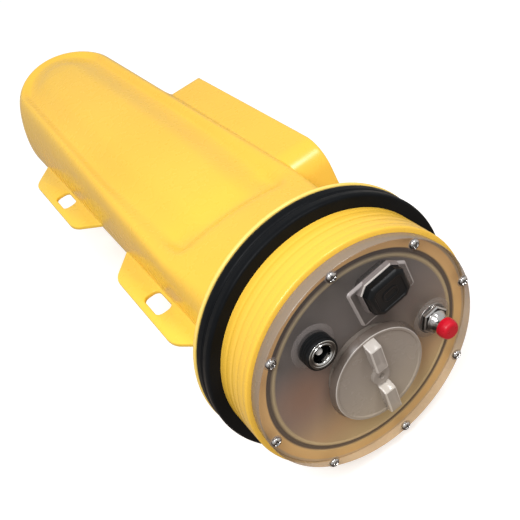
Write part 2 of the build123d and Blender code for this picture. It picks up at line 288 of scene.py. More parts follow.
def make_metal(name, col, r0, r1):
    """Plated metal with painted reflections: facets facing a fixed light direction are painted bright, those turned
    away painted dull, with fine rub marks.
    """
    m, nt, b, co = shader(name)
    b.inputs["Metallic"].default_value = 1.0
    geo = nt.nodes.new("ShaderNodeNewGeometry")
    light_facing = nt.nodes.new("ShaderNodeVectorMath")
    light_facing.operation = "DOT_PRODUCT"
    # fixed light direction: the base colour is painted bright on facets facing it and dull elsewhere, as painted
    # reflections
    light_facing.inputs[1].default_value = (0.30, 0.10, 0.93)
    nt.links.new(geo.outputs["Normal"], light_facing.inputs[0])
    wob = nt.nodes.new("ShaderNodeMath")
    wob.operation = "MULTIPLY_ADD"
    wob.inputs[1].default_value = 0.12
    nt.links.new(noise(nt, co, 300, 3), wob.inputs[0])
    nt.links.new(light_facing.outputs["Value"], wob.inputs[2])
    h = remap(nt, wob.outputs[0], 0.0, 1.0, -1.0, 1.0)
    k = lambda f: tuple(c * f for c in col)
    nt.links.new(ramp(nt, h, [(0.0, k(0.04)), (0.36, k(0.08)), (0.48, k(0.30)), (0.56, k(0.06)), (0.70, k(0.12)), (0.79, k(0.7)), (0.86, k(1.0)), (1.0, k(0.88))]), b.inputs["Base Color"])
    nt.links.new(remap(nt, noise(nt, co, 500, 3, stretch=(1, 1, 5)), r0, r1), b.inputs["Roughness"])
    bump(nt, b, (noise(nt, co, 900, 2, stretch=(1, 1, 6)), 0.04, 0.0002))
    return m


def make_gloss(name, lo, hi, r0, r1, grain=0.05, spec=0.5):
    m, nt, b, co = shader(name)
    b.inputs["Specular IOR Level"].default_value = spec
    nt.links.new(ramp(nt, noise(nt, co, 150, 3), [(0.3, lo), (0.7, hi)]), b.inputs["Base Color"])
    nt.links.new(remap(nt, noise(nt, co, 400, 3), r0, r1), b.inputs["Roughness"])
    bump(nt, b, (noise(nt, co, 2500, 2), grain, 0.0002))
    return m


def lin(r, g, b, k=1.0):
    """Screen colour as a surface colour, scaled."""
    f = lambda v: (v / 12.92 if v <= 0.04045 else ((v + 0.055) / 1.055) ** 2.4)
    return tuple(min(1.0, k * f(c / 255.0)) for c in (r, g, b))


def painted_light_height(nt, co):
    """Painted light and shade gradient: 0 at the lit warm foot of the plate, 1 at its shaded cool top."""
    sep = nt.nodes.new("ShaderNodeSeparateXYZ")
    nt.links.new(co, sep.inputs[0])
    lean = nt.nodes.new("ShaderNodeMath")
    lean.operation = "MULTIPLY_ADD"
    lean.inputs[1].default_value = -0.10
    nt.links.new(sep.outputs["Y"], lean.inputs[0])
    nt.links.new(sep.outputs["Z"], lean.inputs[2])
    wob = nt.nodes.new("ShaderNodeMath")
    wob.operation = "MULTIPLY_ADD"
    wob.inputs[1].default_value = 0.012
    nt.links.new(noise(nt, co, 28, 2), wob.inputs[0])
    nt.links.new(lean.outputs[0], wob.inputs[2])
    return remap(nt, wob.outputs[0], 0.0, 1.0, 0.020, 0.110)


def frost(nt, b, co, rough):
    nt.links.new(remap(nt, noise(nt, co, 160, 4), rough[0], rough[1]), b.inputs["Roughness"])
    b.inputs["IOR"].default_value = 1.49
    b.inputs["Specular IOR Level"].default_value = 0.45
    bump(nt, b, (noise(nt, co, 35, 1), 0.03, 0.001), (noise(nt, co, 240, 2), 0.02, 0.0002))


def make_clear(name, top, mid, low, alpha, rough=(0.24, 0.36)):
    """Frosted clear moulding with painted light and shade: darker and cooler towards the top as painted shade, lighter
    and warmer towards the foot as painted light.
    """
    m, nt, b, co = shader(name)
    h = painted_light_height(nt, co)
    nt.links.new(ramp(nt, h, [(0.05, low), (0.5, mid), (0.95, top)]), b.inputs["Base Color"])
    frost(nt, b, co, rough)
    b.inputs["Alpha"].default_value = alpha
    return m


def make_backing(name):
    """What shows through the end plate, painted: a frosted middle with painted light at its foot, painted shade at its
    top and a painted warm bounce patch, dark gasket line, the collar's warm end face, cool edge; the rim colours are
    painted for the light at top and foot.
    """
    m, nt, b, co = shader(name)
    h = painted_light_height(nt, co)
    # middle: painted light (tan) at the foot fading to painted shade (dark grey) at the top
    cool = ramp(nt, h, [(0.04, lin(190, 166, 118, 1.35)), (0.25, lin(178, 144, 104, 1.35)), (0.50, lin(124, 109, 98, 1.35)), (0.72, lin(98, 91, 88, 1.35)), (0.96, lin(80, 75, 72, 1.35))])
    # painted warm bounce light off the yellow walls: a round patch left of the middle
    sp = nt.nodes.new("ShaderNodeMapping")
    sp.inputs["Location"].default_value = (0, 0.030 / 0.020, -(ZA + 1.0) / 20.0)
    sp.inputs["Scale"].default_value = (0, 50.0, 50.0)
    nt.links.new(co, sp.inputs["Vector"])
    gr = nt.nodes.new("ShaderNodeTexGradient")
    gr.gradient_type = "SPHERICAL"
    nt.links.new(sp.outputs["Vector"], gr.inputs["Vector"])
    painted_bounce_patch = nt.nodes.new("ShaderNodeMixRGB")
    nt.links.new(remap(nt, gr.outputs["Fac"], 0.0, 0.6, 0.0, 0.8), painted_bounce_patch.inputs["Fac"])
    nt.links.new(cool, painted_bounce_patch.inputs["Color1"])
    painted_bounce_patch.inputs["Color2"].default_value = (*lin(152, 110, 86, 1.3), 1)
    middle = painted_bounce_patch.outputs["Color"]
    mp = nt.nodes.new("ShaderNodeMapping")
    mp.inputs["Location"].default_value = (0, 0, -ZA * 0.001)
    mp.inputs["Scale"].default_value = (0, 1, 1)
    nt.links.new(co, mp.inputs["Vector"])
    ln = nt.nodes.new("ShaderNodeVectorMath")
    ln.operation = "LENGTH"
    nt.links.new(mp.outputs["Vector"], ln.inputs[0])
    r = remap(nt, ln.outputs["Value"], 0.0, 1.0, 0.040, 0.053)
    at = lambda mm: (mm - 40.0) / 13.0
    edge = lambda line, groove, band, side: ramp(nt, r, [
        (at(42.7), line), (at(43.6), line), (at(44.5), groove), (at(45.9), groove), (at(46.6), band), (at(50.3), band), (at(51.0), side)])
    # rim colours painted for the light at the top and at the foot (mostly darker at the top, lighter at the foot),
    # mixed by height
    rim_top_painted_light = edge(lin(150, 134, 106, 1.4), lin(70, 58, 50, 1.2), (1.0, 0.58, 0.22), lin(146, 128, 110, 1.3))
    rim_foot_painted_light = edge(lin(196, 170, 124, 1.3), lin(96, 79, 62, 1.2), (0.84, 0.53, 0.20), lin(204, 176, 136, 1.25))
    rim = nt.nodes.new("ShaderNodeMixRGB")
    nt.links.new(h, rim.inputs["Fac"])
    nt.links.new(rim_foot_painted_light, rim.inputs["Color1"])
    nt.links.new(rim_top_painted_light, rim.inputs["Color2"])
    out = nt.nodes.new("ShaderNodeMixRGB")
    nt.links.new(remap(nt, r, 0.0, 1.0, at(42.1), at(42.8)), out.inputs["Fac"])
    nt.links.new(middle, out.inputs["Color1"])
    nt.links.new(rim.outputs["Color"], out.inputs["Color2"])
    nt.links.new(out.outputs["Color"], b.inputs["Base Color"])
    nt.links.new(remap(nt, noise(nt, co, 160, 4), 0.42, 0.55), b.inputs["Roughness"])
    b.inputs["Specular IOR Level"].default_value = 0.2
    bump(nt, b, (noise(nt, co, 35, 1), 0.03, 0.001), (noise(nt, co, 240, 2), 0.02, 0.0002))
    return m


YELLOW = make_yellow("moulded_yellow")
# brighter copy of the yellow: painted light on the ears
YELLOW_EAR_LIT = make_yellow("moulded_yellow_ears_painted_light", (1.04, 1.12, 1.10))
# paler copy of the yellow: painted highlight along the flange edge
FLANGE_HIGHLIGHT = make_yellow("moulded_yellow_painted_highlight", (1.05, 1.22, 2.6))
RUBBER = make_rubber("seal_rubber", (0.0040, 0.0046, 0.0055), (0.0065, 0.0074, 0.0088), 0.34, 0.46)
GASKET = make_rubber("gasket_rubber", (0.035, 0.022, 0.014), (0.055, 0.036, 0.024), 0.5, 0.65)
BLACK = make_gloss("black_moulding", (0.0035, 0.0040, 0.0046), (0.006, 0.0068, 0.0076), 0.28, 0.38, spec=0.22)
NICKEL = make_metal("nickel_plate", (0.86, 0.85, 0.82), 0.10, 0.22)
CHROME = make_metal("chrome_plate", (0.88, 0.86, 0.84), 0.08, 0.18)
PIN = make_gloss("pin_plate", (0.72, 0.71, 0.69), (0.80, 0.79, 0.77), 0.15, 0.25)
RED = make_gloss("red_cap", (0.50, 0.004, 0.016), (0.60, 0.006, 0.022), 0.26, 0.38, spec=0.3)
WRAP = make_gloss("pack_wrap", (0.030, 0.032, 0.036), (0.050, 0.052, 0.056), 0.35, 0.5)
BACKING = make_backing("plate_depth_painted_light")
# clear materials: each colour trio runs from painted shade at the top through mid to painted light at the foot
CLEAR = make_clear("clear_plate", lin(150, 142, 138), lin(160, 148, 138), lin(190, 172, 146), 0.16, (0.16, 0.24))
# plate side band: dark painted shade at the top, light painted light at the foot
EDGE = make_clear("plate_edge", lin(140, 125, 109, 1.1), lin(150, 128, 102, 1.1), lin(208, 178, 132, 1.1), 0.86, (0.2, 0.3))
KNOB = make_clear("frosted_cap", lin(134, 124, 116, 1.2), lin(148, 138, 128, 1.25), lin(168, 154, 134, 1.25), 0.84, (0.2, 0.3))
# darker copy of the cap material: painted shade on the cap's sloping side
SKIRT_SHADED = make_clear("cap_skirt_painted_shade", lin(98, 88, 82), lin(106, 94, 85), lin(132, 114, 92), 0.90, (0.25, 0.35))
GRIP = make_clear("clear_grip", lin(164, 156, 150, 1.15), lin(170, 161, 153, 1.15), lin(182, 171, 156, 1.15), 0.55, (0.08, 0.16))
# whitish clear material: painted highlights on edges of the lip, the cap's top rim and the grip
EDGE_HIGHLIGHT = make_clear("clear_edges_painted_highlight", lin(206, 199, 193, 1.1), lin(208, 200, 192, 1.1), lin(216, 206, 190, 1.1), 0.74, (0.10, 0.18))
FRAME = make_clear("port_frame", lin(122, 114, 112, 1.25), lin(126, 117, 112, 1.25), lin(136, 124, 110, 1.25), 0.74, (0.14, 0.24))
# painted glint on the bezel's bevelled edges
GLINT = make_clear("clear_frame_painted_glint", lin(178, 170, 168, 1.1), lin(178, 170, 164, 1.1), lin(184, 174, 162, 1.1), 0.66, (0.10, 0.18))
HAZE = make_clear("clear_bosses", lin(140, 132, 130, 1.2), lin(146, 136, 128, 1.2), lin(170, 153, 128, 1.2), 0.24, (0.12, 0.20))

for node, mat in (("plate_gasket", GASKET), ("port_shell", BLACK), ("battery_pack", WRAP)):
    nodes[node].data.materials.clear()
    nodes[node].data.materials.append(mat)


# ---- moulded pod -------------------------------------------------------------------------
def station(s):
    """Section sizes at s back from the plate, eased over the crease."""
    total, weight = np.zeros(len(NEAR)), 0.0
    for k in range(-6, 7):
        w = 0.5 + 0.5 * math.cos(math.pi * k / 7)
        q = s + k * 0.7
        if q >= S_CREASE:
            v = NEAR + (TAIL - NEAR) * (q - S_CREASE) / (S_TAIL - S_CREASE)
        else:
            v = NEAR + (RAMP - NEAR) * (S_CREASE - q) / (S_CREASE - S_FLANGE)
        total += w * v
        weight += w
    if s >= S_TAIL - 10:
        return NEAR + (TAIL - NEAR) * (s - S_CREASE) / (S_TAIL - S_CREASE)
    return total / weight


N_ARCH, N_WALL = 48, 26
N_TOP = N_ARCH + N_WALL


def pod_profile(s):
    """Half outline across the pod: (half width, height over the axis), from crown to belly."""
    crown, rim_z, rim_y, run, sh_y, sh_z, foot, belly = station(s)
    drop = crown - rim_z
    R = (rim_y**2 + drop**2) / (2 * drop)
    a1 = -math.asin(rim_y / R)
    depth = 3.7 * float(smooth(90, 110, s))
    line = 2.8 * math.exp(-(((s - S_CREASE) / (4.8 if s < S_CREASE else 14.0)) ** 2))
    way = 6.0 + 5.0 * (1 - float(smooth(97, 195, s)))
    pts = []
    for i in range(N_ARCH):
        u = i / N_ARCH
        r = rim_y * (1 - (1 - u) ** 1.4)
        q = rim_y - r
        dip = float(smooth(0.0, way, q)) * (1 - float(smooth(way, way + 16.5, q)))
        pts.append((r, crown - (R - math.sqrt(R * R - r * r)) - depth * dip - line * float(smooth(4.0, 12.0, q))))
    B = [np.array([rim_y, rim_z]), np.array([rim_y + run * math.cos(a1), rim_z + run * math.sin(a1)]), np.array([sh_y, sh_z]), np.array([foot, BAND])]
    for i in range(N_WALL):
        u = i / (N_WALL - 1)
        p = (1 - u) ** 3 * B[0] + 3 * u * (1 - u) ** 2 * B[1] + 3 * u * u * (1 - u) * B[2] + u**3 * B[3]
        pts.append((p[0], p[1]))
    low = soften([(foot, BAND), (foot, -BAND), (belly, -ZA), (0.0, -ZA)], [0, 1.2, 9.0, 0], 6)
    tail = []
    for a, b in zip(low, low[1:]):
        a, b = np.array(a), np.array(b)
        m = max(1, int(np.linalg.norm(b - a) / 8))
        for k in range(1, m + 1):
            tail.append(tuple(a + (b - a) * k / m))
    return np.array(pts + tail)


def resample(P, n_low):
    """Same count of points on every section below the parting line."""
    top, low = P[:N_TOP], P[N_TOP - 1:]
    d = np.concatenate([[0], np.cumsum(np.linalg.norm(np.diff(low, axis=0), axis=1))])
    u = np.linspace(0, 1, n_low + 1)[1:]
    w = d / d[-1]
    return np.vstack([top, np.stack([np.interp(u, w, low[:, 0]), np.interp(u, w, low[:, 1])], 1)])


N_LOW = 40


def rise(s):
    """Underside of the pod: level, then lifting towards the tail."""
    return -ZA + 30.0 * np.clip((s - 255.0) / 119.6, 0, 1.2)


def soft_max(a, b, k):
    h = np.clip(0.5 + 0.5 * (a - b) / k, 0, 1)
    return b + (a - b) * h + k * h * (1 - h)


def pod_mesh():
    ss = np.concatenate([np.arange(S_FLANGE, 80, 3.5), np.arange(80, 118, 2.0), np.arange(118, S_TAIL, 5.0)])
    rows = []
    for s in ss:
        P = resample(pod_profile(s), N_LOW)
        z = soft_max(P[:, 1], np.full(len(P), rise(s)), 1.5) if s > 250 else P[:, 1]
        rows.append(np.stack([np.full(len(P), XF - s), P[:, 0], ZA + z], 1))
    P = resample(pod_profile(S_TAIL), N_LOW)
    crown, rim_z, rim_y, foot = TAIL[0], TAIL[1], TAIL[2], TAIL[6]
    R = (rim_y**2 + (crown - rim_z) ** 2) / (2 * (crown - rim_z))
    arch = lambda y: crown - (R - np.sqrt(R * R - np.minimum(y * y, rim_y**2)))
    sink = arch(P[:, 0]) - P[:, 1]
    far = (S_END - S_TAIL) / foot
    stretch = 1.04 + (far - 1.04) * np.clip((P[:, 0] - rim_y) / (foot - rim_y), 0, 1)
    stretch[N_TOP:] = far
    tail = []
    n = 72
    for i in range(n + 1):
        f = math.pi * i / n
        y = P[:, 0] * math.cos(f)
        s = S_TAIL + stretch * P[:, 0] * math.sin(f)
        z = P[:, 1].copy()
        z[:N_ARCH] = arch(y[:N_ARCH]) - sink[:N_ARCH] * (1 - 0.62 * math.sin(f) ** 2)
        z[N_ARCH:N_TOP] = BAND + (z[N_ARCH:N_TOP] - BAND) * (float(arch(rim_y * math.cos(f))) - BAND) / (rim_z - BAND)
        z = soft_max(z, rise(s), 1.5)
        tail.append(np.stack([XF - s, y, ZA + z], 1))
    back = [r * np.array([1, -1, 1]) for r in reversed(rows)]
    rows = rows + tail + back
    m, k = len(rows), len(rows[0])
    verts = [tuple(p) for r in rows for p in r]
    faces = []
    for i in range(m - 1):
        for j in range(k - 1):
            faces.append((i * k + j, (i + 1) * k + j, (i + 1) * k + j + 1, i * k + j + 1))
    # end wall against the flange, with the battery pocket let into it
    first = [i for i in range(k)]
    last = [(m - 1) * k + i for i in range(k - 2, 0, -1)]
    ring = first + last
    base = len(verts)
    for x in (XF + OUT_FLANGE, XF - PACK_END):
        for i in ring:
            y, z = verts[i][1], verts[i][2] - ZA
            y, z = rect_hit(y, z)
            verts.append((x, y, ZA + z))
    q = len(ring)
    for i in range(q):
        j = (i + 1) % q
        faces.append((ring[i], ring[j], base + j, base + i))
        faces.append((base + i, base + j, base + q + j, base + q + i))
    faces.append(tuple(base + q + i for i in range(q)))
    return verts, faces


def rect_hit(y, z):
    """Where the ray from the axis through (y, z) leaves the battery pocket's outline."""
    t = []
    if abs(y) > 1e-9:
        t.append(PACK_W / 2 / abs(y))
    if z > 1e-9:
        t.append((PACK_Z + PACK_H / 2) / z)
    if z < -1e-9:
        t.append((PACK_Z - PACK_H / 2) / z)
    k = min(t)
    return y * k, z * k


v, f = pod_mesh()
piece("pod_skin", v, f, YELLOW, reps=("housing",), sharp=40, weld=0.002)


# ---- side block, blended onto the pod's wall --------------------------------------------------
# near end of the block, from top to foot: back from the plate, height over the axis
NEAR_END = [(136.0, 26.0), (104.6, 26.0), (98.6, 0.0), (98.2, -27.0)]


def block_mesh():
    far = 236.6
    path = [(s, 26.0) for s in np.arange(far, 137, -4.0)]
    path = [(far, 25.0), (far - 0.3, 25.7)] + [(far - 1.0, 26.0)] + path[1:]
    curve = soften(NEAR_END, [0, 19.0, 4.0, 0], 18)
    dense = []
    for a, b in zip(curve, curve[1:]):
        m = max(1, int(math.hypot(b[0] - a[0], b[1] - a[1]) / 2.0))
        dense += [(a[0] + (b[0] - a[0]) * i / m, a[1] + (b[1] - a[1]) * i / m) for i in range(m)]
    path += dense + [(98.2, -26.9)]
    rows = []
    edge = 1.3
    for s, h in path:
        P = resample(pod_profile(s), N_LOW)
        top = P[:N_TOP]
        st = station(s)
        rim, foot = st[2], st[6]
        ys = np.concatenate([np.linspace(rim + 0.6, foot + 7, 48), np.linspace(foot + 8, 60 - edge, 7)])
        zp = np.interp(ys, top[:, 0], top[:, 1], right=-40.0)
        zp = np.where(ys > foot - 0.02, BAND - (ys - foot) * 14.0, zp)
        k = min(6.0, max(0.3, 0.9 * (zp[0] - h)))
        z = soft_max(np.full(len(ys), h), zp - 0.08, k)
        row = [(y, q) for y, q in zip(ys, z)]
        for k in range(1, 6):
            a = math.pi / 2 * k / 5
            row.append((60 - edge + edge * math.sin(a), h - edge + edge * math.cos(a)))
        lo = -27.0
        for k in range(1, 9):
            row.append((60.0, (h - edge) + (lo - (h - edge)) * k / 8))
        row.append((30.0, lo))
        row.append((30.0, min(h, row[0][1]) - 1.0 if h > lo + 2 else lo))
        rows.append([(XF - s, y, ZA + q) for y, q in row])
    k = len(rows[0])
    verts = [p for r in rows for p in r]
    faces = []
    for i in range(len(rows) - 1):
        for j in range(k):
            jj = (j + 1) % k
            faces.append((i * k + j, (i + 1) * k + j, (i + 1) * k + jj, i * k + jj))
    faces.append(tuple(range(k)))
    faces.append(tuple(range((len(rows) - 1) * k, len(rows) * k)))
    return verts, faces


v, f = block_mesh()
piece("side_block_skin", v, f, YELLOW, reps=("side_block",), sharp=40)


# ---- head: flange, threaded collar, seal ring ---------------------------------------------------
def flange_mesh(n=240):
    sec = soften([(OUT_FLANGE, 56.0), (OUT_FLANGE, FLANGE_R + 0.4), (OUT_RING0, FLANGE_R + 0.4), (OUT_RING0, 56.0)], [0, 0.9, 0.7, 0], 5)
    verts, faces = [], []
    rows = len(sec) + 2
    for k in range(n):
        a = 2 * math.pi * k / n
        c, s = math.cos(a), math.sin(a)
        iy, iz = rect_hit(c, s)
        verts.append((XF + OUT_FLANGE, iy, ZA + iz))
        for out, r in sec:
            verts.append((XF + out, r * c, ZA + r * s))
        verts.append((XF + OUT_RING0, iy, ZA + iz))
    for k in range(n):
        j = (k + 1) % n
        for i in range(rows):
            ii = (i + 1) % rows
            faces.append((k * rows + i, k * rows + ii, j * rows + ii, j * rows + i))
    return verts, faces


v, f = flange_mesh()
# flange in the paler yellow: painted highlight on its edge
piece("head_flange_skin", v, f, FLANGE_HIGHLIGHT, reps=("head_flange",))


def collar_mesh(n=288, pitch=4.1, depth=0.14):
    outs = np.arange(OUT_RING1, OUT_BACK - 0.9, pitch / 14)
    verts, rows = [], []
    ang = 2 * np.pi * np.arange(n) / n
    for out in outs:
        wave = 0.5 - 0.5 * np.cos(2 * np.pi * (out / pitch - ang / (2 * np.pi)))
        fade = float(smooth(OUT_RING1, OUT_RING1 + 1.2, out) * (1 - smooth(OUT_BACK - 2.4, OUT_BACK - 1.2, out)))
        r = COLLAR_R - depth * fade * wave**3
        rows.append(np.stack([np.full(n, XF + out), r * np.cos(ang), ZA + r * np.sin(ang)], 1))
    for out, r in ((OUT_BACK - 0.8, COLLAR_R), (OUT_BACK - 0.3, COLLAR_R - 0.15), (OUT_BACK, COLLAR_R - 0.7), (OUT_BACK, BORE_R + 0.5),
                   (OUT_BACK - 0.5, BORE_R), (OUT_RING0, BORE_R), (OUT_RING0, SEAT_R), (OUT_RING1, SEAT_R)):
        rows.append(np.stack([np.full(n, XF + out), r * np.cos(ang), ZA + r * np.sin(ang)], 1))
    verts = [tuple(p) for r in rows for p in r]
    faces = []
    m = len(rows)
    for i in range(m):
        a, b = i * n, ((i + 1) % m) * n
        for k in range(n):
            j = (k + 1) % n
            faces.append((a + k, b + k, b + j, a + j))
    return verts, faces


v, f = collar_mesh()
piece("threaded_collar", v, f, YELLOW, reps=("head_collar",), sharp=50)

mid = (OUT_RING0 + OUT_RING1) / 2
ring = soften([
    (OUT_RING0, 51.05), (OUT_RING0, 59.5), (OUT_RING0 + 1.6, 60.0), (mid - 0.9, 59.75), (mid - 0.35, 59.35), (mid - 0.12, 59.6),
    (mid + 0.12, 59.6), (mid + 0.35, 59.35), (mid + 0.9, 59.75), (OUT_RING1 - 1.6, 60.0), (OUT_RING1, 59.5), (OUT_RING1, 51.05)],
    [0, 1.8, 2.4, 0.5, 0.15, 0.08, 0.08, 0.15, 0.5, 2.4, 1.8, 0], 5)
v, f = lathe(ring, n=256, closed=True)
piece("seal_ring_skin", v, f, RUBBER, reps=("seal_ring",), sharp=60)


# ---- strap ears -----------------------------------------------------------------------------------
def ear_mesh(root0, root1, out0, out1, slot, t=2.4, edge=0.6):
    outer = [(XF - root0, -40.0), (XF - root0, -42.6), (XF - out0, -56.4), (XF - out1, -56.4), (XF - root1, -42.6), (XF - root1, -40.0)]
    outer = soften(outer, [0, 0, 13.0, 13.0, 0, 0], 12, closed=True)
    hole = [(u + XF - slot, w - 48.4) for u, w in round_rect(18.0, 8.8, 3.2, 7)]
    steps = [(edge * (1 - math.sin(a)), t / 2 - edge * (1 - math.cos(a))) for a in (0.0, math.pi / 6, math.pi / 3, math.pi / 2)]
    levels = [(d, z) for d, z in steps] + [(d, -z) for d, z in reversed(steps)]
    verts, faces = [], []
    for loop, sign in ((outer, 1), (hole, -1)):
        base, n = len(verts), len(loop)
        for d, z in levels:
            verts += [(x, y, ZA + z) for x, y in inset(loop, d * sign)]
        for i in range(len(levels) - 1):
            a, b = base + i * n, base + (i + 1) * n
            for k in range(n):
                j = (k + 1) % n
                faces.append((a + k, b + k, b + j, a + j))
    n, h = len(outer), len(hole)
    off = n * len(levels)
    for lev in (0, len(levels) - 1):
        A = list(range(lev * n, lev * n + n))
        B = list(range(off + lev * h, off + lev * h + h))[::-1]
        idx = A + B
        tris = tessellate_polygon([[Vector((verts[i][0], verts[i][1], 0)) for i in A], [Vector((verts[i][0], verts[i][1], 0)) for i in B]])
        faces += [tuple(idx[i] for i in tri) for tri in tris]
    # small fillet where the ear runs into the wall, above and below
    for side in (1, -1):
        arc = [(-40.0, 2.6)] + [(-42.3 - 1.5 + 1.5 * math.cos(a), 2.65 - 1.5 * math.sin(a)) for a in np.linspace(0.1, math.pi / 2, 6)] + [(-43.9, 1.0), (-40.0, 1.0)]
        base, k = len(verts), len(arc)
        x0, x1 = XF - root0 + 1.5, XF - root1 - 1.5
        for x in (x0, x1):
            verts += [(x, y, ZA + side * z) for y, z in arc]
        for i in range(k):
            j = (i + 1) % k
            faces.append((base + i, base + j, base + k + j, base + k + i))
        faces.append(tuple(range(base, base + k)))
        faces.append(tuple(range(base + k, base + 2 * k)))
    return verts, faces


for name, root0, root1, out0, out1, slot in (
        ("strap_ear_tail", 293.5, 195.5, 279.0, 209.5, 241.4),
        ("strap_ear_head", 158.0, 60.0, 142.5, 76.0, 106.6)):
    v, f = ear_mesh(root0, root1, out0, out1, slot)
    # ears in the brighter painted-light copy of the yellow
    piece(name + "_skin", v, f, YELLOW_EAR_LIT, reps=(name,), sharp=40)


# ---- clear plate fittings -----------------------------------------------------------------------------
PLATE_R0 = 42.0
PORT = (13.5, 30.4, 6.0)


def ring_loop(r, cy, cz, n):
    return [(cy + r * math.cos(2 * math.pi * k / n), cz + r * math.sin(2 * math.pi * k / n)) for k in range(n)]


def placed(loop, cy, cz, turn):
    c, s = math.cos(math.radians(turn)), math.sin(math.radians(turn))
    return [(cy + u * c - w * s, cz + u * s + w * c) for u, w in loop]


def sheet_with_holes(outer, holes, out):
    """Flat face across the axis, bounded by one outline and cut by others."""
    loops = [outer] + holes
    flat = [p for lp in loops for p in lp]
    tris = tessellate_polygon([[Vector((y, z, 0)) for y, z in lp] for lp in loops])
    return [(XF + out, y, ZA + z) for y, z in flat], [tuple(tri) for tri in tris]


def wall(loop, out0, out1):
    n = len(loop)
    verts = [(XF + o, y, ZA + z) for o in (out0, out1) for y, z in loop]
    return verts, [(k, (k + 1) % n, n + (k + 1) % n, n + k) for k in range(n)]


def plate_mesh(n=192):
    outer = ring_loop(PLATE_R0, 0, 0, n)
    holes = [ring_loop(19.55, -0.5, -6.6, 96), placed(octagon(15.8, 13.0, 2.2), *PORT), ring_loop(4.65, -20.3, 26.3, 40), ring_loop(3.55, 31.0, -2.5, 40)]
    parts = [sheet_with_holes(outer, holes, 0.0), sheet_with_holes(outer, holes, OUT_BACK)]
    parts += [wall(h, 0.0, OUT_BACK) for h in holes]
    rim = soften([(0.0, PLATE_R0), (0.0, 52.0), (OUT_BACK, 52.0), (OUT_BACK, PLATE_R0)], [0, 0.8, 0.3, 0], 6)
    parts.append(lathe(rim, n=n))
    return join(*parts)


def backing_mesh(n=192, front=-4.1):
    """Inside of the plate's back layer: gasket channel, seat and edge, with the same openings."""
    outer = ring_loop(PLATE_R0, 0, 0, n)
    holes = [ring_loop(19.65, -0.5, -6.6, 96), placed(octagon(16.0, 13.2, 2.2), *PORT), ring_loop(4.75, -20.3, 26.3, 40), ring_loop(3.65, 31.0, -2.5, 40)]
    back = OUT_BACK + 0.06
    parts = [sheet_with_holes(outer, holes, front), sheet_with_holes(outer, holes, back)]
    parts += [wall(h, front, back) for h in holes]
    rim = soften([(front, PLATE_R0), (front, 42.6), (front + 0.25, 42.9), (front + 0.25, 43.6), (front - 0.5, 44.5), (front - 0.5, 46.0), (front, 46.5), (front, 51.85), (back, 51.85), (back, PLATE_R0)],
                 [0, 0.2, 0.2, 0.3, 0.4, 0.4, 0.3, 0.3, 0.1, 0], 4)
    parts.append(lathe(rim, n=n))
    return join(*parts)


v, f = plate_mesh()
outer_band = [1 if min(math.hypot(v[i][1], v[i][2] - ZA) for i in q) > 51.6 else 0 for q in f]
piece("clear_plate", v, f, [CLEAR, EDGE], reps=("end_plate",), sharp=30, weld=0.003, pick=outer_band)
# opaque sheet inside the plate that carries the painted light and shade of the cavity behind it
v, f = backing_mesh()
piece("plate_depth_painted_light", v, f, BACKING, sharp=40, weld=0.003)

# low bosses behind the socket and the switch
boss_s = lathe(soften([(-0.1, 9.6), (0.0, 9.6), (0.9, 8.2), (1.0, 6.0), (-0.1, 6.0)], [0, 1.0, 0.9, 0, 0], 5), -20.3, 26.3, 72, closed=True)
boss_b = lathe(soften([(-0.1, 9.2), (0.0, 9.2), (0.9, 7.8), (1.0, 4.6), (-0.1, 4.6)], [0, 1.0, 0.9, 0, 0], 5), 31.0, -2.5, 72, closed=True)
v, f = join(boss_s, boss_b)
piece("plate_bosses", v, f, HAZE)


def bezel_mesh():
    """Raised clear frame round the port, cut back where it would cross the gasket line."""
    dense = []
    base = round_rect(26.4, 18.8, 1.2, 5)
    for a, b in zip(base, base[1:] + base[:1]):
        m = max(1, int(math.hypot(b[0] - a[0], b[1] - a[1]) / 0.8))
        dense += [(a[0] + (b[0] - a[0]) * i / m, a[1] + (b[1] - a[1]) * i / m) for i in range(m)]
    loop = placed(dense, PORT[0] - 0.2, PORT[1] - 1.0, PORT[2])
    loop = [(y * min(1, 42.6 / math.hypot(y, z)), z * min(1, 42.6 / math.hypot(y, z))) for y, z in loop]
    hole = placed(octagon(16.0, 13.2, 2.2), *PORT)
    verts, faces, pick = [], [], []
    levels = [(-0.05, -0.45), (0.2, -0.35), (0.8, 0.0), (1.1, 0.3), (1.15, 0.7)]
    n = len(loop)
    for out, d in levels:
        verts += [(XF + out, y, ZA + z) for y, z in inset(loop, d)]
    for i in range(len(levels) - 1):
        for k in range(n):
            j = (k + 1) % n
            faces.append((i * n + k, (i + 1) * n + k, (i + 1) * n + j, i * n + j))
            # bevel faces on the left and right runs of the frame take the painted glint
            pick.append(1 if i in (1, 2, 3) and (dense[k][0] < -5.0 or dense[k][0] > 11.0) else 0)
    tv, tf = sheet_with_holes(inset(loop, 0.7), [hole], 1.15)
    base = len(verts)
    verts += tv
    faces += [tuple(i + base for i in q) for q in tf]
    pick += [0] * len(tf)
    base = len(verts)
    wv, wf = wall(hole, 1.15, 0.0)
    verts += wv
    faces += [tuple(i + base for i in q) for q in wf]
    pick += [0] * len(wf)
    return verts, faces, pick


v, f, p = bezel_mesh()
piece("port_bezel", v, f, [HAZE, GLINT], sharp=25, weld=0.003, pick=p)
lip_levels = [(-0.05, -0.75), (0.9, -0.6), (1.9, -0.4), (2.3, -0.2), (2.4, 0.05), (2.1, 0.2), (0.0, 0.2)]
lip = stack(octagon(18.4, 15.6, 2.95), lip_levels, *PORT, closed=True)
# the upper and upper-left sides of the lip's rounding take the painted highlight
piece("port_lip", lip[0], lip[1], [FRAME, EDGE_HIGHLIGHT], sharp=25, pick=[1 if k in (4, 5) and i in (2, 3) else 0 for i in range(len(lip_levels)) for k in range(8)])


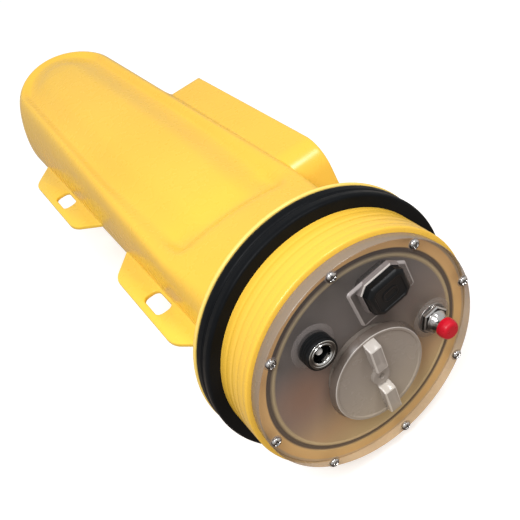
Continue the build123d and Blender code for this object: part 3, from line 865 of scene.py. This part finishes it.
def screw_mesh(cy, cz, turn, n=48, r=2.05, h=1.4):
    """Pan head with a cross recess, standing on the plate."""
    verts, faces, rows = [], [], []
    radii = np.concatenate([[0.0], np.linspace(0.12, 1.5, 15), np.linspace(1.62, r, 6)])
    for rr in radii:
        dome = h * math.sqrt(max(0.0, 1 - (rr / (r * 1.12)) ** 2.6))
        if rr == 0:
            rows.append([len(verts)])
            verts.append((XF + dome - 0.75, cy, ZA + cz))
            continue
        row = []
        for k in range(n):
            a = 2 * math.pi * k / n
            u, w = rr * math.cos(a), rr * math.sin(a)
            arm = max((1 - float(smooth(0.22, 0.42, abs(u)))) * (1 - float(smooth(1.05, 1.35, abs(w)))),
                      (1 - float(smooth(0.22, 0.42, abs(w)))) * (1 - float(smooth(1.05, 1.35, abs(u)))))
            q = a + turn
            row.append(len(verts))
            verts.append((XF + dome - 0.75 * arm, cy + rr * math.cos(q), ZA + cz + rr * math.sin(q)))
        rows.append(row)
    row = []
    for k in range(n):
        q = 2 * math.pi * k / n + turn
        row.append(len(verts))
        verts.append((XF - 0.4, cy + r * math.cos(q), ZA + cz + r * math.sin(q)))
    rows.append(row)
    for A, B in zip(rows, rows[1:]):
        for k in range(n):
            j = (k + 1) % n
            if len(A) == 1:
                faces.append((A[0], B[k], B[j]))
            else:
                faces.append((A[k], B[k], B[j], A[j]))
    faces.append(tuple(row))
    return verts, faces


heads, seats = [], []
for k in range(8):
    a = math.radians(4.5 + 45 * k)
    cy, cz = 49.5 * math.cos(a), 49.5 * math.sin(a)
    heads.append(screw_mesh(cy, cz, 0.7 * k + 0.3))
    seats.append(lathe(soften([(-0.1, 2.7), (0.0, 2.7), (0.18, 2.5), (0.18, 1.9), (-0.1, 1.9)], [0, 0.1, 0.1, 0, 0], 2), cy, cz, 40, closed=True))
v, f = join(*heads)
piece("plate_screws", v, f, CHROME, sharp=45)
v, f = join(*seats)
piece("screw_seats", v, f, HAZE)

# ---- twist cap --------------------------------------------------------------------------------------------
CY, CZ = -0.5, -6.6
top = 0.2 + 3.2
rim = 22.6 - 3.2 * math.tan(math.radians(22))
disc = lathe(soften([(-8.2, 0.0), (-8.2, 19.5), (0.2, 19.5), (0.2, 22.6), (top, rim), (top, rim - 1.1), (top - 0.45, rim - 1.5), (top - 0.45, 0.0)],
                    [0, 0.4, 0, 0.3, 0.35, 0.2, 0.2, 0], 4), CY, CZ, 160)
# outer edge of the top face takes the painted highlight, the sloping side the painted shade
disc_pick = [1 if all(math.hypot(disc[0][i][1] - CY, disc[0][i][2] - ZA - CZ) > rim - 0.75 and disc[0][i][0] > XF + top - 0.5 for i in q) else 2 if any(math.hypot(disc[0][i][1] - CY, disc[0][i][2] - ZA - CZ) > rim + 0.1 for i in q) else 0 for q in disc[1]]
hub = lathe(soften([(top - 0.5, 4.4), (top + 1.2, 4.2), (top + 1.2, 1.3), (top - 1.6, 1.2), (top - 1.6, 0.0)], [0, 0.5, 0.25, 0.2, 0], 4), CY, CZ, 64)


def grip_mesh(side):
    """Half of the split grip: a bar with sloping ends and softened edges."""
    prof = soften([(top - 0.4, 20.2), (top + 0.4, 20.4), (top + 4.4, 18.6), (top + 4.4, 6.4), (top + 0.4, 4.7), (top - 0.4, 4.6)], [0, 0.4, 0.7, 0.7, 0.3, 0], 4)
    half, edge = 2.8, 0.6
    verts, faces, pick, n = [], [], [], len(prof)
    loop = prof[::-1]
    for d, y in [(edge, -half), (edge * 0.3, -half + edge * 0.3), (0.0, -half + edge), (0.0, half - edge), (edge * 0.3, half - edge * 0.3), (edge, half)]:
        for o, z in inset(loop, d) if d else loop:
            verts.append((XF + max(o, top - 0.4), CY + y, ZA + CZ + side * z))
    for i in range(5):
        a, b = i * n, (i + 1) * n
        for k in range(n):
            j = (k + 1) % n
            faces.append((a + k, b + k, b + j, a + j))
            zs = [side * loop[k][1], side * loop[j][1]]
            slope = abs(loop[k][1] - loop[j][1]) < 2.6
            # bevelled edge strips and some end faces take the painted highlight
            pick.append(1 if i != 2 or (slope and min(zs) > (4.5 if side > 0 else -7.5)) else 0)
    faces.append(tuple(range(n)))
    faces.append(tuple(range(5 * n, 6 * n)))
    pick += [0, 0]
    return verts, faces, pick


v, f = disc
piece("twist_cap_disc", v, f, [KNOB, EDGE_HIGHLIGHT, SKIRT_SHADED], body="twist_cap", reps=("battery_cap",), sharp=28, pick=disc_pick)
g1, g2 = grip_mesh(1), grip_mesh(-1)
v, f = join(g1[:2], g2[:2], hub)
piece("twist_cap_grip", v, f, [GRIP, EDGE_HIGHLIGHT], body="twist_cap", sharp=28, pick=g1[2] + g2[2] + [0] * len(hub[1]))

# ---- charge socket ---------------------------------------------------------------------------------------------
SY, SZ = -20.3, 26.3
ribs = [(-13.0, 0.0), (-13.0, 4.6), (0.0, 4.6), (0.0, 6.9)]
for k in range(4):
    o = 0.6 + 1.2 * k
    ribs += [(o, 6.95), (o + 0.35, 6.45), (o + 0.55, 6.45), (o + 0.9, 6.95)]
ribs += [(5.7, 6.95), (6.3, 6.7), (6.4, 6.35), (5.9, 6.2), (5.9, 4.0), (-9.0, 4.0), (-9.0, 0.0)]
v, f = lathe(ribs, SY, SZ, 96)
piece("socket_barrel", v, f, BLACK, reps=("charge_socket",), sharp=30)
face = [(5.8, 6.15), (6.35, 6.1), (6.5, 5.8), (6.5, 5.2), (6.3, 5.05), (6.3, 4.85), (6.55, 4.7), (6.5, 4.2), (6.0, 3.75), (4.4, 3.7), (4.4, 3.97), (5.8, 4.05)]
v, f = lathe(soften(face, [0, 0.15, 0.2, 0.1, 0.08, 0.08, 0.15, 0.2, 0.4, 0, 0, 0], 4), SY, SZ, 96, closed=True)
piece("socket_face_ring", v, f, NICKEL, reps=("socket_rim",), sharp=40)
v, f = lathe(soften([(-8.9, 0.0), (-8.9, 1.5), (4.4, 1.5), (4.4, 0.0)], [0, 0.2, 1.1, 0], 7), SY, SZ, 48)
piece("socket_centre_pin", v, f, PIN, reps=("socket_pin",), sharp=50)

# ---- data port plug -----------------------------------------------------------------------------------------------
PY, PZ, PT = 13.5, 30.4, 6.0
cap = stack(octagon(17.8, 15.0, 2.8), [(1.3, 0.3), (1.4, 0.05), (5.0, 0.0), (5.6, 0.35), (6.3, 1.1), (6.4, 1.35), (6.4, 2.2), (6.3, 2.35), (6.0, 2.5), (5.95, 2.7)], PY, PZ, PT)
mark = stack(round_rect(7.4, 5.0, 2.2, 6), [(5.8, 0.0), (6.1, 0.05), (6.22, 0.25), (6.22, 0.7), (6.1, 0.95), (5.9, 1.0)], PY, PZ, PT)
stem = stack(round_rect(11.4, 8.4, 0.5, 2), [(-4.5, 0.4), (-4.1, 0.0), (1.5, 0.0)], PY, PZ, PT)
v, f = join(cap, mark, stem)
piece("dust_plug_body", v, f, BLACK, body="dust_plug", reps=("port_plug",), sharp=28)

# ---- push switch -------------------------------------------------------------------------------------------------------
BY, BZ = 31.0, -2.5
hexr = 11.4 / 2 / math.cos(math.pi / 6)
hexa = [(hexr * math.cos(math.pi / 3 * k), hexr * math.sin(math.pi / 3 * k)) for k in range(6)]
hexa = soften(hexa, 0.35, 3, closed=True)
nut = stack(hexa, [(0.35, 0.3), (0.5, 0.0), (2.1, 0.0), (2.5, 0.55), (2.55, 1.2)], BY, BZ, 8.0)
washer = lathe(soften([(-0.05, 6.9), (0.35, 6.9), (0.42, 6.4), (0.42, 3.0), (-0.05, 3.0)], [0, 0.15, 0.1, 0, 0], 3), BY, BZ, 64, closed=True)
neck = [(2.4, 4.75), (2.9, 4.75), (3.1, 4.5)]
for k in range(3):
    o = 3.2 + 0.55 * k
    neck += [(o, 4.3 - 0.12 * k), (o + 0.2, 4.05 - 0.12 * k), (o + 0.4, 4.25 - 0.12 * k)]
neck += [(4.95, 3.9), (6.6, 3.3), (7.5, 3.2)]
stem = lathe([(-12.0, 0.0), (-12.0, 3.45), (2.4, 3.45)] + neck + [(7.6, 0.0)], BY, BZ, 80)
v, f = join(nut, washer, stem)
piece("switch_nut_and_neck", v, f, CHROME, reps=("switch_bushing",), sharp=28)
v, f = lathe(soften([(7.2, 0.0), (7.2, 4.0), (7.5, 4.3), (9.4, 4.35), (12.0, 3.7), (12.0, 0.0)], [0, 0.3, 0.4, 1.0, 2.6, 0], 8), BY, BZ, 80)
piece("switch_red_cap", v, f, RED, reps=("switch_cap",), sharp=60)

# ---- floor, light and camera -------------------------------------------------------------------------------------------
fm, fnt, fb, fco = shader("pale_floor")
fnt.links.new(ramp(fnt, noise(fnt, fco, 3, 2), [(0.3, (0.60, 0.60, 0.60)), (0.7, (0.62, 0.62, 0.62))]), fb.inputs["Base Color"])
fnt.links.new(remap(fnt, noise(fnt, fco, 40, 2), 0.75, 0.85), fb.inputs["Roughness"])
fb.inputs["Specular IOR Level"].default_value = 0.1
fb.inputs["Emission Color"].default_value = (1, 1, 1, 1)
fb.inputs["Emission Strength"].default_value = 0.60
me = bpy.data.meshes.new("floor")
me.from_pydata([(-30, -30, -0.0002), (30, -30, -0.0002), (30, 30, -0.0002), (-30, 30, -0.0002)], [], [(0, 1, 2, 3)])
floor = bpy.data.objects.new("floor", me)
scene.collection.objects.link(floor)
me.materials.append(fm)
floor.visible_diffuse = False
floor.visible_glossy = False

world = bpy.data.worlds.new("studio")
scene.world = world
world.use_nodes = True
wnt = world.node_tree
bg = wnt.nodes["Background"]
wtc = wnt.nodes.new("ShaderNodeTexCoord")
wsep = wnt.nodes.new("ShaderNodeSeparateXYZ")
wnt.links.new(wtc.outputs["Generated"], wsep.inputs[0])
wnt.links.new(ramp(wnt, remap(wnt, wsep.outputs["Z"], 0.0, 1.0, -1.0, 1.0), [(0.0, (0.47, 0.35, 0.275)), (0.40, (0.47, 0.44, 0.41)), (0.56, (0.51, 0.51, 0.51)), (1.0, (0.54, 0.54, 0.54))]), bg.inputs["Color"])
bg.inputs["Strength"].default_value = 1.0

for name, place, aim, size, power in (("key", (0.44, -0.32, 0.82), (0.12, 0.0, 0.07), 0.42, 5.2), ("rim", (0.46, 0.30, 0.78), (0.10, 0.0, 0.08), 0.20, 2.3)):
    lamp = bpy.data.lights.new(name, "AREA")
    lamp.shape = "DISK"
    lamp.size = size
    lamp.energy = power
    ob = bpy.data.objects.new(name, lamp)
    scene.collection.objects.link(ob)
    ob.location = place
    ob.rotation_mode = "QUATERNION"
    ob.rotation_quaternion = (Vector(place) - Vector(aim)).normalized().to_track_quat("Z", "Y")
    ob.visible_camera = False

scene.view_settings.view_transform = "Standard"

cam = bpy.data.cameras.new("cam")
co = bpy.data.objects.new("cam", cam)
scene.collection.objects.link(co)
cam.sensor_width = 36.0
cam.lens = 54.0
right, up, back = Vector((.5123, .7951, -.3248)), Vector((-.4222, .5624, .7109)), Vector((.7479, -.2270, .6238))
loc = Vector((XF * 0.001, 0, ZA * 0.001)) + 0.052 * Vector((3.6706, -1.5958, 4.4964))
co.matrix_world = Matrix(((right.x, up.x, back.x, loc.x), (right.y, up.y, back.y, loc.y), (right.z, up.z, back.z, loc.z), (0, 0, 0, 1)))
cam.clip_start = 0.01
scene.camera = co
